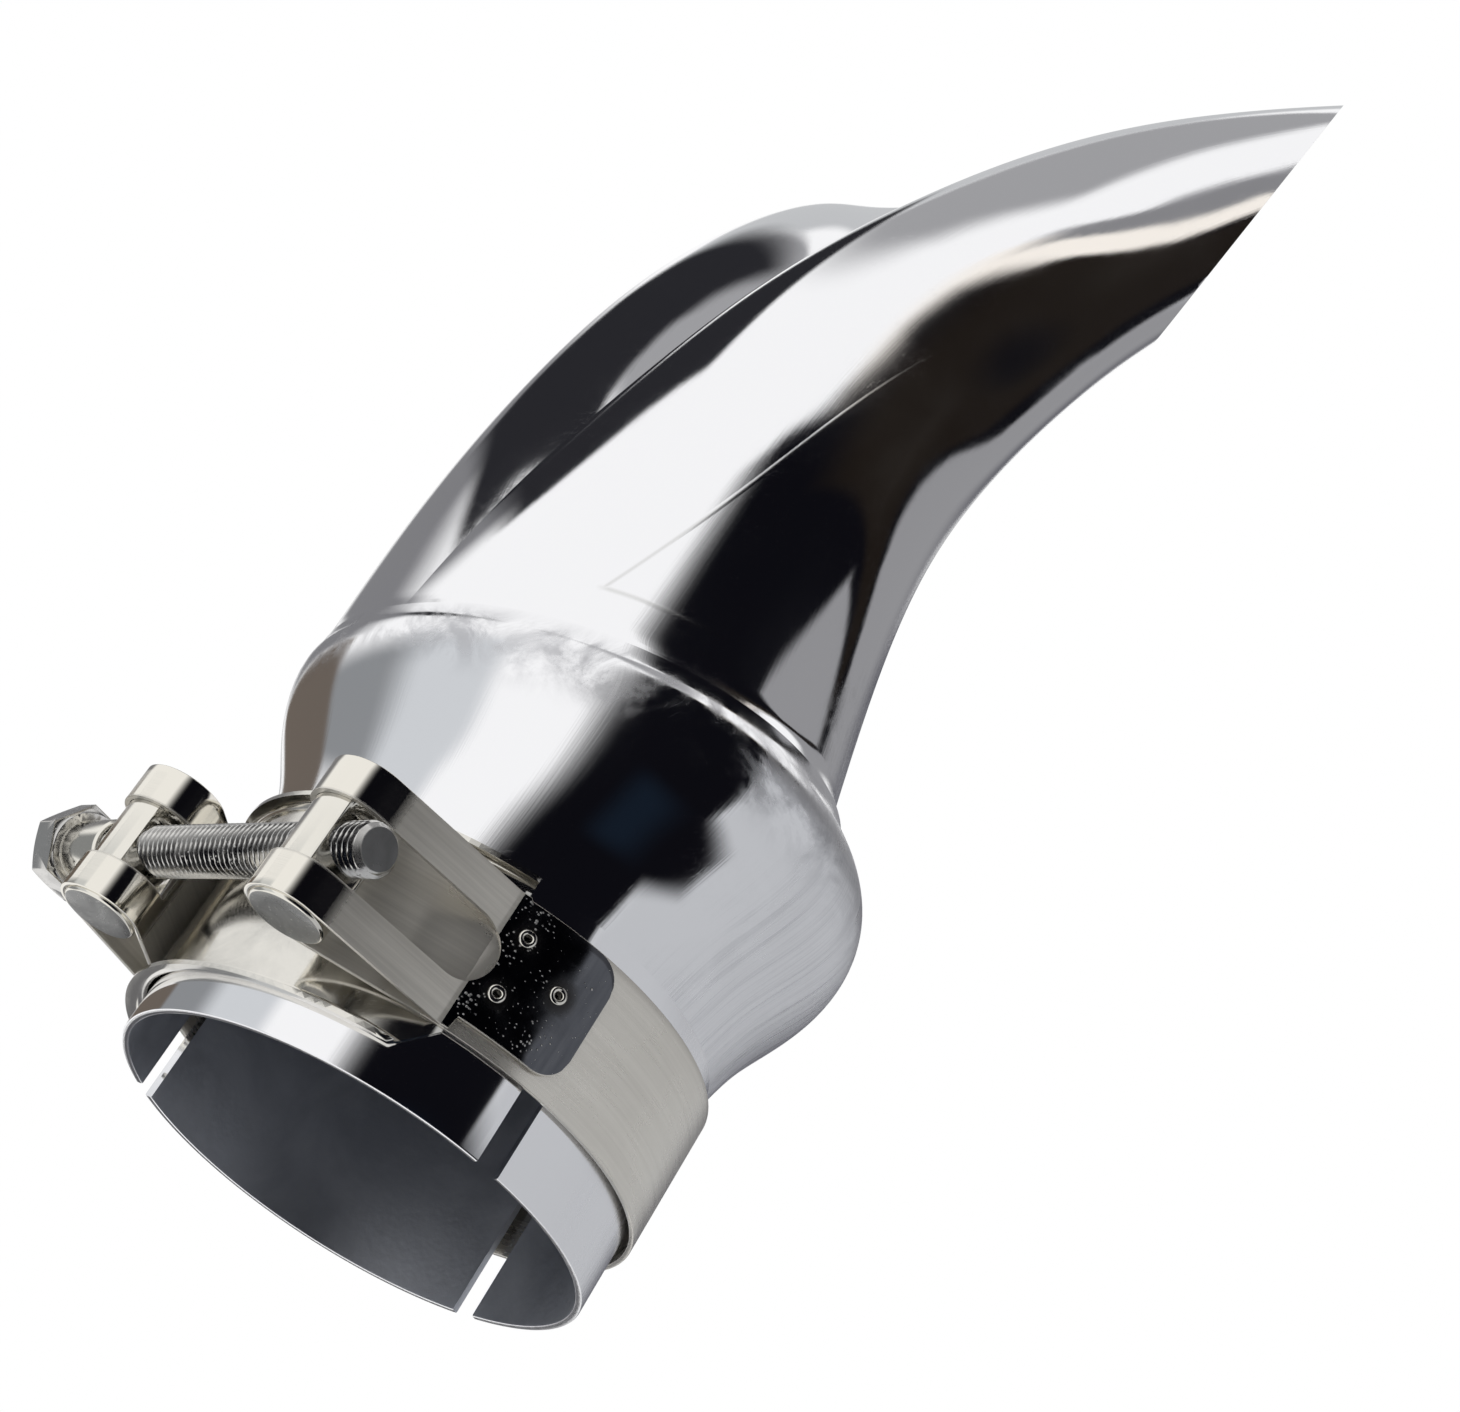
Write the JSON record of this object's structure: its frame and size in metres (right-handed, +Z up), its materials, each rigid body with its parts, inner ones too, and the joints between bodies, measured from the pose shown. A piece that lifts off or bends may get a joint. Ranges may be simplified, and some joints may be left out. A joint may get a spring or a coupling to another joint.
{
  "type": "exhaust tip",
  "caption": "Twin-horn exhaust tip: two curved, mitred tubes rise from a bulged collector above a slotted inlet sleeve held by a bolted band clamp.",
  "frame": {"origin": "centre of the inlet sleeve's open mouth, in the plane of its rim", "axes": "+Z up the bore towards the horns, +X the way the horns bend, -X the side of the clamp's bolt, +Y the side of the bolt's head"},
  "size_m": [0.0984, 0.1224, 0.2496],
  "materials": {
    "polished_tube": "mirror-polished stainless steel outside, dull inside",
    "polished_shell": "mirror-polished stainless steel",
    "strap_steel": "rolled stainless strip",
    "hardware": "bright turned steel",
    "bolt_steel": "bright threaded steel"
  },
  "bodies": {
    "tip": {"inlet_sleeve": "polished_tube", "collector_bulb": "polished_shell", "horn_right": "polished_shell", "horn_left": "polished_shell"},
    "clamp": {"clamp_strap": "strap_steel", "bridge_plate": "strap_steel", "bridge_rivet": "hardware", "eyelet_right_1": "hardware", "eyelet_right_2": "hardware", "eyelet_right_3": "hardware", "eyelet_left_1": "hardware", "eyelet_left_2": "hardware", "eyelet_left_3": "hardware", "threaded_trunnion": "hardware", "plain_trunnion": "hardware"},
    "spacer": {"bolt_spacer": "hardware"},
    "bolt": {"clamp_bolt": "bolt_steel"}
  },
  "joints": [
    {"name": "clamp_turn", "type": "hinge", "parent": "tip", "child": "clamp", "pos_m": [0, 0, 0.0233], "axis": [0, 0, 1], "continuous": true},
    {"name": "bolt_back_out", "type": "slide", "parent": "clamp", "child": "spacer", "axis": [0, 1, 0], "range_m": [0, 0.0125]},
    {"name": "bolt_turn", "type": "hinge", "parent": "spacer", "child": "bolt", "pos_m": [-0.046, 0.0397, 0.0233], "axis": [0, 1, 0], "range_deg": [0, 3600]}
  ],
  "couplings": [
    {"joint": "bolt_turn", "follows": "bolt_back_out", "rad_per_m": 5026.5}
  ]
}
